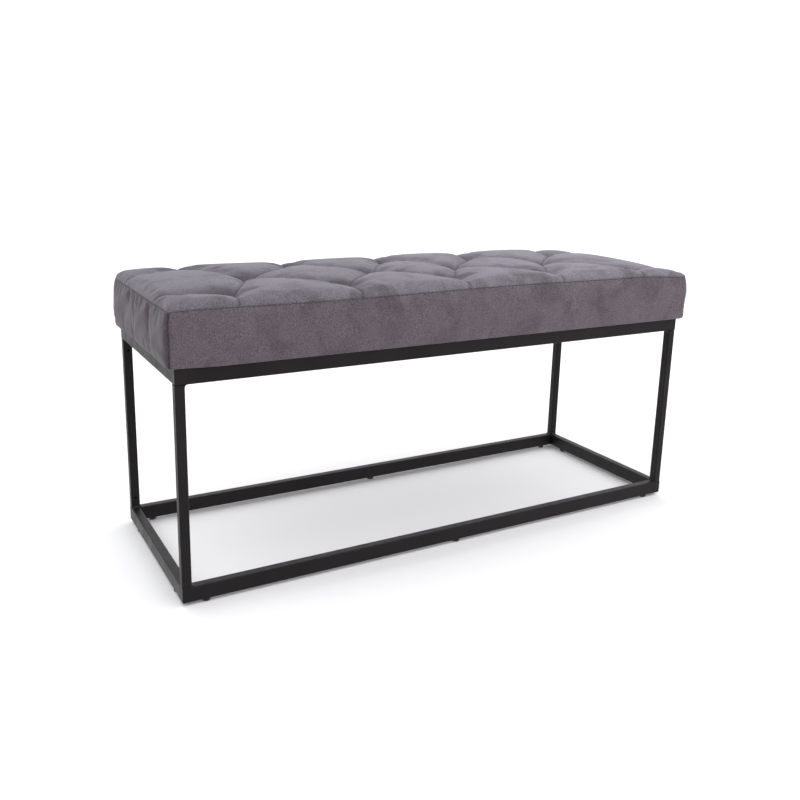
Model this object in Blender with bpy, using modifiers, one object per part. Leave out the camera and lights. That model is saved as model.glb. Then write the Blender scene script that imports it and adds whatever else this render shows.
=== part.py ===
"""Upholstered entryway bench: a welded steel tube frame under a tufted box cushion.

Metres, +Z up, +X along the length, -Y to the front. The origin is on the floor under the middle of the bench.
"""

import math

import bmesh
import bpy
from mathutils import Matrix, Vector

# ---------------------------------------------------------------- driving dimensions
LENGTH = 1.000  # over the cushion
DEPTH = 0.350
HEIGHT = 0.470

FRAME_LENGTH = 0.986
FRAME_DEPTH = 0.344
FRAME_TOP = 0.370

TUBE_WIDTH = 0.015  # legs are square, rails stand on edge
RAIL_HEIGHT = 0.025
TUBE_WALL = 0.0015
TUBE_CORNER = 0.0018  # outside corner radius of the tube
ARC_STEPS = 3

GLIDE_HEIGHT = 0.005
GLIDE_RADIUS = 0.007
GLIDE_STEM_RADIUS = 0.0037
GLIDE_STEM_TOP = 0.013  # above the floor
LONG_RAIL_GLIDES = (-0.455, 0.0, 0.455)
SHORT_RAIL_GLIDES = (-0.120, 0.120)

VENT_RADIUS = 0.002
VENT_FROM_RAIL = 0.020  # from the rail to the hole's centre

GUSSET_LEG = 0.042
GUSSET_THICK = 0.003
GUSSET_DROP = 0.0018  # its top lies this far under the rails' top, to leave room for the dust cover
SCREW_INSET = 0.014  # from the rails' inner faces to the screw's axis

COVER_THICK = 0.0015
HEM_WIDTH = 0.026  # cloth turned under the board
HEM_THICK = 0.0012
HEM_CORNER = 0.0025
BOARD_THICK = 0.012
SEAM_DROP = 0.019  # from the top of the cushion to the seam round its edge
TOP_EDGE_RADIUS = 0.015

TUFT_ROWS = ((-0.118, 5), (0.0, 4), (0.118, 5))  # each row's y, and how many tufts it has
TUFT_PITCH = 0.200
TUFT_BOTTOM = 0.452  # height to which the ties pull the cover
TIE_RADIUS = 0.001
TIE_WASHER_RADIUS = 0.009
TIE_WASHER_THICK = 0.0015

DUST_COVER_THICK = 0.0008
DUST_COVER_INSET = 0.002  # from the rails' inner faces

SCREW_RADIUS = 0.003
SCREW_LENGTH = 0.016
SCREW_HEAD_RADIUS = 0.0055
SCREW_HEAD_HEIGHT = 0.0035
SOCKET_ACROSS = 0.004
SOCKET_DEPTH = 0.002
NUT_FLANGE_RADIUS = 0.009
NUT_FLANGE_THICK = 0.0014
NUT_WALL = 0.0007
NUT_LENGTH = 0.0095

GAP = 0.0003  # between pieces that touch
ROUND_STEPS = 20
SMALL_STEPS = 12

# ---------------------------------------------------------------- heights that follow from them
RAIL_BOTTOM = GLIDE_HEIGHT
LOWER_RING_TOP = RAIL_BOTTOM + RAIL_HEIGHT
UPPER_RING_BOTTOM = FRAME_TOP - RAIL_HEIGHT
HEM_BOTTOM = FRAME_TOP + GAP
BOARD_BOTTOM = HEM_BOTTOM + HEM_THICK + GAP
BOARD_TOP = BOARD_BOTTOM + BOARD_THICK
FOAM_BOTTOM = BOARD_TOP + GAP
SEAM_HEIGHT = HEIGHT - SEAM_DROP
GUSSET_TOP = FRAME_TOP - GUSSET_DROP
DUST_COVER_BOTTOM = GUSSET_TOP + GAP
INNER_X = FRAME_LENGTH / 2 - TUBE_WIDTH  # the rails' inner faces
INNER_Y = FRAME_DEPTH / 2 - TUBE_WIDTH
CORE_INSET = COVER_THICK + GAP  # from the outside of the cover to the board and the foam

COLLECTION = "entryway_bench"
CORNERS = {"front_left": (-1, -1), "front_right": (1, -1), "back_left": (-1, 1), "back_right": (1, 1)}
SIDES = {"front": 0, "right": 90, "back": 180, "left": 270}  # each side's turn about +Z, in degrees

STEEL = ("powder_coated_steel", (0.018, 0.017, 0.018), 0.45, 0.0)
PLASTIC = ("black_plastic", (0.012, 0.012, 0.012), 0.55, 0.0)
MICROFIBRE = ("grey_microfibre", (0.20, 0.185, 0.195), 0.95, 0.0)
FOAM = ("cream_foam", (0.78, 0.72, 0.55), 0.95, 0.0)
PLYWOOD = ("birch_plywood", (0.62, 0.45, 0.28), 0.7, 0.0)
NONWOVEN = ("black_nonwoven", (0.02, 0.02, 0.02), 0.95, 0.0)
ZINC = ("zinc_plated_steel", (0.62, 0.62, 0.60), 0.35, 1.0)
TWINE = ("waxed_twine", (0.55, 0.53, 0.48), 0.8, 0.0)


# ---------------------------------------------------------------- helpers
def new_collection(name, hidden=False):
    collection = bpy.data.collections.new(name)
    bpy.context.scene.collection.children.link(collection)
    collection.hide_render = hidden
    return collection


def material(spec):
    name, colour, roughness, metallic = spec
    found = bpy.data.materials.get(name)
    if found:
        return found
    made = bpy.data.materials.new(name)
    made.use_nodes = True
    shader = made.node_tree.nodes["Principled BSDF"]
    shader.inputs["Base Color"].default_value = (*colour, 1.0)
    shader.inputs["Roughness"].default_value = roughness
    shader.inputs["Metallic"].default_value = metallic
    return made


def add_object(name, data, spec, collection):
    obj = bpy.data.objects.new(name, data)
    collection.objects.link(obj)
    if spec:
        obj.data.materials.append(material(spec))
    return obj


def shade_round(mesh):
    mesh.shade_smooth()
    mesh.set_sharp_from_angle(angle=math.radians(35))


def rounded_rectangle(width, height, radius, steps=ARC_STEPS):
    """The outline's points, anticlockwise, centred on the origin."""
    points = []
    for quarter in range(4):
        turn = quarter * math.pi / 2
        sx = (1, -1, -1, 1)[quarter]
        sy = (1, 1, -1, -1)[quarter]
        centre = (sx * (width / 2 - radius), sy * (height / 2 - radius))
        for step in range(steps + 1):
            angle = turn + step / steps * math.pi / 2
            points.append((centre[0] + radius * math.cos(angle), centre[1] + radius * math.sin(angle)))
    return points


def extruded_outline(name, outlines, length, collection):
    """A mesh of closed outlines in XY, filled and extruded by length along Z, centred on the origin."""
    curve = bpy.data.curves.new(name, "CURVE")
    curve.dimensions = "2D"
    curve.fill_mode = "BOTH"
    curve.extrude = length / 2
    for outline in outlines:
        spline = curve.splines.new("POLY")
        spline.points.add(len(outline) - 1)
        for point, (x, y) in zip(spline.points, outline):
            point.co = (x, y, 0, 1)
        spline.use_cyclic_u = True
    guide = bpy.data.objects.new(name + "_outline", curve)
    collection.objects.link(guide)
    graph = bpy.context.evaluated_depsgraph_get()
    mesh = bpy.data.meshes.new_from_object(guide.evaluated_get(graph))
    mesh.name = name
    bpy.data.objects.remove(guide)
    edit = bmesh.new()
    edit.from_mesh(mesh)
    bmesh.ops.remove_doubles(edit, verts=edit.verts, dist=1e-6)
    bmesh.ops.recalc_face_normals(edit, faces=edit.faces)
    edit.to_mesh(mesh)
    edit.free()
    return mesh


def mitre_ends(mesh, length, outer_face, gap):
    """Slides the end points of a bar along Z by their depth behind outer_face, a value of X: 45 degree ends."""
    for vertex in mesh.vertices:
        end = math.copysign(1, vertex.co.z)
        if abs(vertex.co.z) > length / 2 - 1e-6:
            depth = outer_face - vertex.co.x
            vertex.co.z = end * (length / 2 - depth - gap / math.sqrt(2))


def boolean(obj, cutter, operation="DIFFERENCE"):
    modifier = obj.modifiers.new(f"{operation.lower()}_{cutter.name}", "BOOLEAN")
    modifier.operation = operation
    modifier.solver = "EXACT"
    modifier.object = cutter


def cylinder_cutter(name, radius, depth, location, axis="Z", steps=SMALL_STEPS, turn=0.0):
    mesh = bpy.data.meshes.new(name)
    edit = bmesh.new()
    bmesh.ops.create_cone(
        edit, cap_ends=True, segments=steps, radius1=radius, radius2=radius, depth=depth
    )
    edit.to_mesh(mesh)
    edit.free()
    cutter = add_object(name, mesh, None, bpy.data.collections["cutters"])
    cutter.location = location
    if axis == "Y":
        cutter.rotation_euler = (math.pi / 2, 0, turn)
    else:
        cutter.rotation_euler = (0, 0, turn)
    cutter.hide_render = True
    cutter.display_type = "WIRE"
    return cutter


def group_cutter(name, cutters):
    """One cutter mesh made of separate cylinders, so that a piece with many holes takes one Boolean."""
    edit = bmesh.new()
    for cutter in cutters:
        part = bmesh.new()
        part.from_mesh(cutter.data)
        bmesh.ops.transform(part, matrix=cutter.matrix_basis, verts=part.verts)
        scratch = bpy.data.meshes.new("scratch")
        part.to_mesh(scratch)
        part.free()
        edit.from_mesh(scratch)
        bpy.data.meshes.remove(scratch)
        bpy.data.objects.remove(cutter)
    mesh = bpy.data.meshes.new(name)
    edit.to_mesh(mesh)
    edit.free()
    joined = add_object(name, mesh, None, bpy.data.collections["cutters"])
    joined.hide_render = True
    joined.display_type = "WIRE"
    return joined


def turned(name, profile, steps, spec, location):
    """A solid of revolution about Z from (radius, height) points, listed from the top to the bottom."""
    mesh = bpy.data.meshes.new(name)
    mesh.from_pydata([(r, 0, z) for r, z in profile], [(i, i + 1) for i in range(len(profile) - 1)], [])
    obj = add_object(name, mesh, spec, bpy.data.collections[COLLECTION])
    obj.location = location
    screw = obj.modifiers.new("turn", "SCREW")
    screw.axis = "Z"
    screw.steps = steps
    screw.render_steps = steps
    screw.use_merge_vertices = True
    screw.merge_threshold = 1e-5
    screw.use_smooth_shade = False
    return obj


def slab(name, length, depth, bottom, thickness, spec, corner=0.0):
    """A flat sheet with its lower face at the height bottom."""
    outline = rounded_rectangle(length, depth, max(corner, 1e-4))
    mesh = extruded_outline(name, [outline], thickness, bpy.data.collections[COLLECTION])
    obj = add_object(name, mesh, spec, bpy.data.collections[COLLECTION])
    obj.location.z = bottom + thickness / 2
    return obj


# ---------------------------------------------------------------- steel frame
def tube_outlines(width, height):
    inner_corner = TUBE_CORNER - TUBE_WALL
    return [
        rounded_rectangle(width, height, TUBE_CORNER),
        rounded_rectangle(width - 2 * TUBE_WALL, height - 2 * TUBE_WALL, inner_corner, 1),
    ]


def side_place(side, half_length, half_depth):
    """The matrix that takes a bar drawn with +X outwards and Z along it to its side of the bench."""
    turn = SIDES[side]
    reach = half_length if side in ("left", "right") else half_depth
    outward = Matrix.Rotation(math.radians(turn - 90), 4, "Z")
    lay_down = Matrix(((1, 0, 0, 0), (0, 0, 1, 0), (0, -1, 0, 0), (0, 0, 0, 1)))
    return outward @ Matrix.Translation((reach, 0, 0)) @ lay_down


def glide_places(side):
    """Where the glides stand along one bottom rail, as (x, y)."""
    x = FRAME_LENGTH / 2 - TUBE_WIDTH / 2
    y = FRAME_DEPTH / 2 - TUBE_WIDTH / 2
    places = {
        "front": [(place, -y) for place in LONG_RAIL_GLIDES],
        "back": [(place, y) for place in LONG_RAIL_GLIDES],
        "left": [(-x, place) for place in SHORT_RAIL_GLIDES],
        "right": [(x, place) for place in SHORT_RAIL_GLIDES],
    }
    return places[side]


def rail(level, side):
    long_side = side in ("front", "back")
    length = FRAME_LENGTH if long_side else FRAME_DEPTH
    name = f"{level}_rail_{side}"
    mesh = extruded_outline(
        name, tube_outlines(TUBE_WIDTH, RAIL_HEIGHT), length, bpy.data.collections[COLLECTION]
    )
    mitre_ends(mesh, length, TUBE_WIDTH / 2, GAP)
    obj = add_object(name, mesh, STEEL, bpy.data.collections[COLLECTION])
    bottom = RAIL_BOTTOM if level == "bottom" else UPPER_RING_BOTTOM
    place = side_place(side, FRAME_LENGTH / 2 - TUBE_WIDTH / 2, FRAME_DEPTH / 2 - TUBE_WIDTH / 2)
    obj.matrix_world = Matrix.Translation((0, 0, bottom + RAIL_HEIGHT / 2)) @ place
    if level == "bottom":
        holes = [
            cylinder_cutter(f"stem_hole_{side}_{number}", GLIDE_STEM_RADIUS + GAP, 0.004, (x, y, RAIL_BOTTOM))
            for number, (x, y) in enumerate(glide_places(side), 1)
        ]
        boolean(obj, group_cutter(f"stem_holes_{side}", holes))
    return obj


def leg(corner):
    sx, sy = CORNERS[corner]
    length = UPPER_RING_BOTTOM - LOWER_RING_TOP - 2 * GAP
    name = f"leg_{corner}"
    mesh = extruded_outline(
        name, tube_outlines(TUBE_WIDTH, TUBE_WIDTH), length, bpy.data.collections[COLLECTION]
    )
    obj = add_object(name, mesh, STEEL, bpy.data.collections[COLLECTION])
    x = sx * (FRAME_LENGTH - TUBE_WIDTH) / 2
    y = sy * (FRAME_DEPTH - TUBE_WIDTH) / 2
    obj.location = (x, y, (UPPER_RING_BOTTOM + LOWER_RING_TOP) / 2)
    inner_wall = y - sy * TUBE_WIDTH / 2
    heights = (LOWER_RING_TOP + VENT_FROM_RAIL, UPPER_RING_BOTTOM - VENT_FROM_RAIL)
    vents = [
        cylinder_cutter(f"vent_{corner}_{number}", VENT_RADIUS, 0.004, (x, inner_wall, height), "Y")
        for number, height in enumerate(heights, 1)
    ]
    boolean(obj, group_cutter(f"vents_{corner}", vents))
    return obj


def glide(side, number, x, y):
    """A push-in plastic button: a head with a rounded lower edge, a stem and a barb above the tube's wall."""
    head_top = GLIDE_HEIGHT - GAP
    wall_top = RAIL_BOTTOM + TUBE_WALL
    edge = 0.002
    barb = 0.0006
    profile = [
        (0, GLIDE_STEM_TOP),
        (GLIDE_STEM_RADIUS - 0.001, GLIDE_STEM_TOP),
        (GLIDE_STEM_RADIUS, GLIDE_STEM_TOP - 0.0015),
        (GLIDE_STEM_RADIUS + barb, wall_top + 0.0028),
        (GLIDE_STEM_RADIUS + barb, wall_top + 0.0020),
        (GLIDE_STEM_RADIUS, wall_top + GAP),
        (GLIDE_STEM_RADIUS, head_top),
        (GLIDE_RADIUS, head_top),
    ]
    for step in range(ARC_STEPS + 1):
        angle = step / ARC_STEPS * math.pi / 2
        profile.append((GLIDE_RADIUS - edge + edge * math.cos(angle), edge - edge * math.sin(angle)))
    profile.append((0, 0))
    return turned(f"glide_{side}_{number}", profile, ROUND_STEPS, PLASTIC, (x, y, 0))


def screw_place(corner):
    sx, sy = CORNERS[corner]
    return sx * (INNER_X - SCREW_INSET), sy * (INNER_Y - SCREW_INSET)


def gusset(corner):
    """A triangular plate in a corner of the upper ring, with its points cut back and a hole for the seat screw."""
    sx, sy = CORNERS[corner]
    x, y = sx * (INNER_X - GAP), sy * (INNER_Y - GAP)
    blunt = 0.004
    outline = [
        (x, y),
        (x - sx * GUSSET_LEG, y),
        (x - sx * GUSSET_LEG, y - sy * blunt),
        (x - sx * blunt, y - sy * GUSSET_LEG),
        (x, y - sy * GUSSET_LEG),
    ]
    name = f"gusset_{corner}"
    mesh = extruded_outline(name, [outline], GUSSET_THICK, bpy.data.collections[COLLECTION])
    obj = add_object(name, mesh, STEEL, bpy.data.collections[COLLECTION])
    obj.location.z = GUSSET_TOP - GUSSET_THICK / 2
    hole = cylinder_cutter(
        f"gusset_hole_{corner}", SCREW_RADIUS + GAP, 3 * GUSSET_THICK, (*screw_place(corner), obj.location.z)
    )
    boolean(obj, hole)
    return obj


# ---------------------------------------------------------------- seat fixings
def seat_screw(corner):
    """A pan-head machine screw, head down, with a hexagon socket."""
    x, y = screw_place(corner)
    under_head = GUSSET_TOP - GUSSET_THICK - GAP
    top = under_head + SCREW_LENGTH
    head_bottom = under_head - SCREW_HEAD_HEIGHT
    profile = [
        (0, top),
        (SCREW_RADIUS - 0.0006, top),
        (SCREW_RADIUS, top - 0.0008),
        (SCREW_RADIUS, under_head),
        (SCREW_HEAD_RADIUS, under_head),
        (SCREW_HEAD_RADIUS, head_bottom + 0.0015),
        (SCREW_HEAD_RADIUS - 0.0006, head_bottom + 0.0004),
        (SCREW_HEAD_RADIUS - 0.0018, head_bottom),
        (0, head_bottom),
    ]
    obj = turned(f"seat_screw_{corner}", profile, SMALL_STEPS, ZINC, (x, y, 0))
    socket = cylinder_cutter(
        f"socket_{corner}",
        SOCKET_ACROSS / math.sqrt(3),
        2 * SOCKET_DEPTH,
        (x, y, head_bottom),
        steps=6,
    )
    boolean(obj, socket)
    return obj


def t_nut(corner):
    """A flanged nut let into the top of the seat board."""
    x, y = screw_place(corner)
    bore = SCREW_RADIUS + GAP
    barrel = bore + NUT_WALL
    profile = [
        (bore, BOARD_TOP),
        (NUT_FLANGE_RADIUS, BOARD_TOP),
        (NUT_FLANGE_RADIUS, BOARD_TOP - NUT_FLANGE_THICK),
        (barrel, BOARD_TOP - NUT_FLANGE_THICK),
        (barrel, BOARD_TOP - NUT_LENGTH),
        (bore, BOARD_TOP - NUT_LENGTH),
        (bore, BOARD_TOP),
    ]
    return turned(f"t_nut_{corner}", profile, SMALL_STEPS, ZINC, (x, y, 0))


# ---------------------------------------------------------------- seat
def tuft_places():
    places = []
    for y, count in TUFT_ROWS:
        first = -(count - 1) / 2 * TUFT_PITCH
        places += [(first + number * TUFT_PITCH, y) for number in range(count)]
    return places


def tie_holes(name, middle, depth):
    return [
        cylinder_cutter(f"{name}_{number}", TIE_RADIUS + GAP, depth, (x, y, middle), steps=8)
        for number, (x, y) in enumerate(tuft_places(), 1)
    ]


def seat_board():
    obj = slab(
        "seat_board",
        LENGTH - 2 * CORE_INSET,
        DEPTH - 2 * CORE_INSET,
        BOARD_BOTTOM,
        BOARD_THICK,
        PLYWOOD,
        0.004,
    )
    holes = tie_holes("board_tie_hole", BOARD_BOTTOM + BOARD_THICK / 2, 2 * BOARD_THICK)
    for corner in CORNERS:
        x, y = screw_place(corner)
        barrel = SCREW_RADIUS + GAP + NUT_WALL + GAP
        middle = BOARD_BOTTOM + BOARD_THICK / 2
        holes.append(cylinder_cutter(f"nut_hole_{corner}", barrel, 2 * BOARD_THICK, (x, y, middle)))
    boolean(obj, group_cutter("board_holes", holes))
    recess_depth = NUT_FLANGE_THICK + GAP
    recesses = [
        cylinder_cutter(
            f"nut_recess_{corner}",
            NUT_FLANGE_RADIUS + GAP,
            2 * recess_depth,
            (*screw_place(corner), BOARD_TOP),
        )
        for corner in CORNERS
    ]
    boolean(obj, group_cutter("board_recesses", recesses))
    return obj


def rounded_block(name, length, depth, bottom, top, radius, spec, open_below=False):
    """A box whose top edges and upright corners are rounded, with or without its lower face."""
    mesh = bpy.data.meshes.new(name)
    edit = bmesh.new()
    scale = Matrix.Diagonal((length, depth, top - bottom, 1))
    lift = Matrix.Translation((0, 0, (top + bottom) / 2))
    bmesh.ops.create_cube(edit, size=1, matrix=lift @ scale)
    low = [face for face in edit.faces if face.normal.z < -0.5]
    if open_below:
        bmesh.ops.delete(edit, geom=low, context="FACES_ONLY")
    top_edges = [edge for edge in edit.edges if all(v.co.z > (top + bottom) / 2 for v in edge.verts)]
    bmesh.ops.bevel(
        edit, geom=top_edges, offset=radius, segments=ARC_STEPS + 1, profile=0.5, affect="EDGES"
    )
    edit.to_mesh(mesh)
    edit.free()
    return add_object(name, mesh, spec, bpy.data.collections[COLLECTION])


def foam_block():
    obj = rounded_block(
        "foam_block",
        LENGTH - 2 * CORE_INSET,
        DEPTH - 2 * CORE_INSET,
        FOAM_BOTTOM,
        HEIGHT - CORE_INSET,
        TOP_EDGE_RADIUS - CORE_INSET,
        FOAM,
    )
    middle = (FOAM_BOTTOM + HEIGHT) / 2
    boolean(obj, group_cutter("foam_tie_holes", tie_holes("foam_tie_hole", middle, HEIGHT - FOAM_BOTTOM + 0.02)))
    return obj


def tuft_tie(number, x, y):
    """Twine from the bottom of a tuft, down through the foam and the board, to a washer under the board."""
    washer_top = BOARD_BOTTOM - GAP
    profile = [
        (0, TUFT_BOTTOM),
        (TIE_RADIUS, TUFT_BOTTOM),
        (TIE_RADIUS, washer_top),
        (TIE_WASHER_RADIUS, washer_top),
        (TIE_WASHER_RADIUS, washer_top - TIE_WASHER_THICK),
        (0, washer_top - TIE_WASHER_THICK),
    ]
    return turned(f"tuft_tie_{number:02d}", profile, SMALL_STEPS, TWINE, (x, y, 0))


def cover_top():
    """The cover's top panel: cloth over the foam, down to the seam round the edge."""
    obj = rounded_block(
        "cover_top", LENGTH, DEPTH, SEAM_HEIGHT + GAP / 2, HEIGHT, TOP_EDGE_RADIUS, MICROFIBRE, open_below=True
    )
    solidify = obj.modifiers.new("cloth", "SOLIDIFY")
    solidify.thickness = COVER_THICK
    solidify.offset = -1
    solidify.use_even_offset = True
    return obj


def cover_side(side):
    """A side panel of the cover: upright from the hem to the seam, and turned under the board."""
    long_side = side in ("front", "back")
    length = LENGTH if long_side else DEPTH
    top = SEAM_HEIGHT - GAP / 2
    # The outline's X is outwards and its Y is down: the bar is laid on its side.
    outline = [(0, -top), (0, -HEM_BOTTOM - HEM_CORNER)]
    for step in range(1, ARC_STEPS + 1):
        angle = step / ARC_STEPS * math.pi / 2
        outline.append(
            (-HEM_CORNER + HEM_CORNER * math.cos(angle), -HEM_BOTTOM - HEM_CORNER + HEM_CORNER * math.sin(angle))
        )
    outline += [
        (-HEM_WIDTH, -HEM_BOTTOM),
        (-HEM_WIDTH, -HEM_BOTTOM - HEM_THICK),
        (-COVER_THICK, -HEM_BOTTOM - HEM_THICK),
        (-COVER_THICK, -top),
    ]
    name = f"cover_{side}"
    mesh = extruded_outline(name, [outline], length, bpy.data.collections[COLLECTION])
    mitre_ends(mesh, length, 0, GAP)
    obj = add_object(name, mesh, MICROFIBRE, bpy.data.collections[COLLECTION])
    obj.matrix_world = side_place(side, LENGTH / 2, DEPTH / 2)
    return obj


def dust_cover():
    """A black sheet stapled under the board, inside the upper ring, with a hole for each seat screw."""
    obj = slab(
        "dust_cover",
        2 * (INNER_X - DUST_COVER_INSET),
        2 * (INNER_Y - DUST_COVER_INSET),
        DUST_COVER_BOTTOM,
        DUST_COVER_THICK,
        NONWOVEN,
        0.003,
    )
    holes = [
        cylinder_cutter(
            f"dust_cover_hole_{corner}", SCREW_RADIUS + GAP, 0.01, (*screw_place(corner), DUST_COVER_BOTTOM)
        )
        for corner in CORNERS
    ]
    boolean(obj, group_cutter("dust_cover_holes", holes))
    return obj


# ---------------------------------------------------------------- build
def main():
    for old in list(bpy.data.objects):
        bpy.data.objects.remove(old)
    new_collection(COLLECTION)
    new_collection("cutters", hidden=True)

    for level in ("bottom", "top"):
        for side in SIDES:
            rail(level, side)
    for corner in CORNERS:
        leg(corner)
        gusset(corner)
        seat_screw(corner)
        t_nut(corner)
    for side in SIDES:
        for number, (x, y) in enumerate(glide_places(side), 1):
            glide(side, number, x, y)
        cover_side(side)
    seat_board()
    foam_block()
    for number, (x, y) in enumerate(tuft_places(), 1):
        tuft_tie(number, x, y)
    cover_top()
    dust_cover()

    bpy.context.view_layer.update()
    for obj in bpy.data.collections[COLLECTION].objects:
        shade_round(obj.data)


main()
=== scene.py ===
"""Entryway bench: how it looks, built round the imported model. Metres, +Z up, -Y to the front."""

import math
import random

import bmesh
import bpy
import numpy as np
from mathutils import Matrix, Vector


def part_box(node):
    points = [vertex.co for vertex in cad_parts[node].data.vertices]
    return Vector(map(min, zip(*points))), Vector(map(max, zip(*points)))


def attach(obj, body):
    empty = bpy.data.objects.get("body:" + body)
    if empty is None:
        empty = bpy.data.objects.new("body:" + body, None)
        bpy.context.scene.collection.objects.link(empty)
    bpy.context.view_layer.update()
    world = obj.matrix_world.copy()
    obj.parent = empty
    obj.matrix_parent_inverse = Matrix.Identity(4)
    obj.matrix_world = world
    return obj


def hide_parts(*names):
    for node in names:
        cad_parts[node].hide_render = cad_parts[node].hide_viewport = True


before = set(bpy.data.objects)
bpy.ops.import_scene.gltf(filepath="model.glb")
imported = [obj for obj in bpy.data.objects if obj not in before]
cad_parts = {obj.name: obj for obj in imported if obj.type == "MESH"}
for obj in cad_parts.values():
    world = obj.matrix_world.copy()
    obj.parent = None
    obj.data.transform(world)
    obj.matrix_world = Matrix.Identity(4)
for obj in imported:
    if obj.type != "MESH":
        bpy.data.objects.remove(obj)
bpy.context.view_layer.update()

# ---------------------------------------------------------------- camera
CAMERA_PLACE = (-0.797, -1.336, 0.677)
CAMERA_YAW = 29.69  # degrees from +Y towards +X
CAMERA_PITCH = 13.48  # degrees below the horizon
CAMERA_ROLL = 1.39
CAMERA_LENS = 38.55
CAMERA_SENSOR = 36.0
CAMERA_SHIFT = (0.0036, -0.0565)

# ---------------------------------------------------------------- light
FRONT_OF_STUDIO = (0.42, 0.41, 0.41)  # the side that the camera stands on
BACK_OF_STUDIO = (1.12, 1.12, 1.13)
BACK_DIRECTION = (0.6, 0.8, 0.0)  # from the middle of the studio to its back
TOP_OF_STUDIO = (1.85, 1.86, 1.92)
# name, place, size, watts, colour
LIGHTS = (
    ("left", (-2.6, -1.2, 1.5), (1.0, 1.0), 3, (1.0, 0.99, 0.97)),
    ("front", (0.6, -3.2, 1.6), (2.0, 1.2), 22, (1.0, 0.97, 0.95)),
)

# ---------------------------------------------------------------- cushion
SIDES = ("front", "right", "back", "left")
COVER_NODES = ("cover_top", *(f"cover_{side}" for side in SIDES))
CORNERS = ("front_left", "front_right", "back_left", "back_right")
TIES = sorted(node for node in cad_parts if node.startswith("tuft_tie_"))
GLIDES = sorted(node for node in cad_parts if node.startswith("glide_"))

top_low, top_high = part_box("cover_top")
HALF_LENGTH = top_high.x
HALF_DEPTH = top_high.y
SEAM_HEIGHT = top_low.z
HEM_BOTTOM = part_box("cover_front")[0].z
FOAM_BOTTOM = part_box("foam_block")[0].z

TUFT_CELLS = 25  # mesh cells from one tuft's column or row to the next
EDGE_CELLS = 14  # from the outer rows of tufts to the seam
EDGE_STEPS = (0.0, 0.0014, 0.0034, 0.0062)  # the finer mesh lines beside the seam
PLAN_CORNER = 0.009  # the cushion's upright corners, seen from above

TUFT_HEIGHT = 0.4595
PLEAT_RISE = 0.0045  # of the middle of a pleat above its tufts
PUFF_RISE = 0.0125
PUFF_REACH = 0.030  # how far in from a pleat the cover keeps rising
PUFF_POWER = 0.72
PUFF_AT_SEAM = 0.12  # share of the puffs' rise that is there already over the seam
DIMPLE = (0.0070, 0.017)  # the hollow that a tie pulls into the pleats' crossing: depth and radius
TUFT_SHADE_SPOT = ((-0.014, 0.027), (0.008, 0.018))  # the painted shade by a tuft: how far aside, how wide, in x and y
SHOULDER_RISE = 0.0125  # the rounding over the seam: its height, and how far in it reaches
SHOULDER_REACH = 0.0160
RIGHT_REACH = 0.060  # the right end of the cushion is more rounded off than the others
RIGHT_SLOPE = 0.0038

# how far each tuft, and each pleat's end on the left seam, was set from its place in the pattern
TUFT_WANDER = {
    (-0.4, -0.118): (0.010, -0.004),
    (-0.2, -0.118): (0.009, 0.012),
    (0.0, -0.118): (0.008, 0.005),
    (0.2, -0.118): (0.007, -0.001),
    (0.4, -0.118): (-0.010, -0.009),
    (-0.3, 0.0): (-0.017, 0.011),
    (-0.1, 0.0): (0.012, 0.004),
    (0.1, 0.0): (-0.016, 0.000),
    (0.3, 0.0): (-0.016, -0.006),
    (-0.4, 0.118): (0.013, 0.018),
    (-0.2, 0.118): (0.004, 0.010),
    (0.0, 0.118): (-0.003, 0.000),
    (0.2, 0.118): (-0.012, -0.013),
    (0.4, 0.118): (-0.006, -0.013),
    (-0.5, -0.118): (0.0, 0.022),
    (-0.5, 0.118): (0.0, -0.030),
}
SIDE_BULGE = 0.0052  # of a side panel beyond the box of the part
RIGHT_BULGE = 0.0080  # and more at the right end, where the cushion hangs over the frame
LEFT_BULGE = -0.0016  # and less at the left end
LOWER_BULGE = 0.86  # share of the bulge that is left at the lower edge
SEAM_DEPTH = 0.0008
CORNER_SEAM_DEPTH = 0.0012
HEM_SAG = 0.0022  # the lower edge hangs this far below the hem, in front of the rails
HEM_ROUND = 0.0042
HEM_WIDTH = 0.026
STITCH_PITCH = 0.0080
STITCH_LENGTH = 0.0056
STITCH_RADIUS = 0.00055
# along a stitch: share of its length, rise and thickness, both in thread radii
STITCH_SHAPE = ((0.0, -0.3, 0.5), (0.15, 0.35, 0.9), (0.5, 0.75, 1.0), (0.85, 0.35, 0.9), (1.0, -0.3, 0.5))
HEM_THICK = 0.0012

# along a staple: share of half its length, and height
STAPLE_SHAPE = ((-1, 0.0002), (-0.9, -0.0002), (0.9, -0.0002), (1, 0.0002))
WELD_RADIUS = 0.0058

random.seed(47)


# ---------------------------------------------------------------- helpers
def link(obj):
    bpy.context.scene.collection.objects.link(obj)
    return obj


def mesh_object(name, points, faces, material=None, smooth=True):
    mesh = bpy.data.meshes.new(name)
    mesh.from_pydata([tuple(p) for p in points], [], faces)
    mesh.polygons.foreach_set("use_smooth", [smooth] * len(mesh.polygons))
    mesh.update()
    obj = link(bpy.data.objects.new(name, mesh))
    if material:
        mesh.materials.append(material)
    return obj


def bmesh_object(name, edit, material):
    """An object made of a bmesh, with its faces turned outward."""
    bmesh.ops.recalc_face_normals(edit, faces=edit.faces)
    mesh = bpy.data.meshes.new(name)
    edit.to_mesh(mesh)
    edit.free()
    mesh.materials.append(material)
    mesh.polygons.foreach_set("use_smooth", [True] * len(mesh.polygons))
    return link(bpy.data.objects.new(name, mesh))


def piece(obj, slot_name, *replaced):
    """A visual piece of the bench, which is one rigid body."""
    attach(obj, "root")
    if replaced:
        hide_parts(*replaced)
    return obj


def coordinates(mesh):
    found = np.empty(len(mesh.vertices) * 3, np.float32)
    mesh.vertices.foreach_get("co", found)
    return found.reshape(-1, 3).astype(float)


def set_coordinates(mesh, points):
    mesh.vertices.foreach_set("co", np.asarray(points, np.float32).ravel())
    mesh.update()


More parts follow.
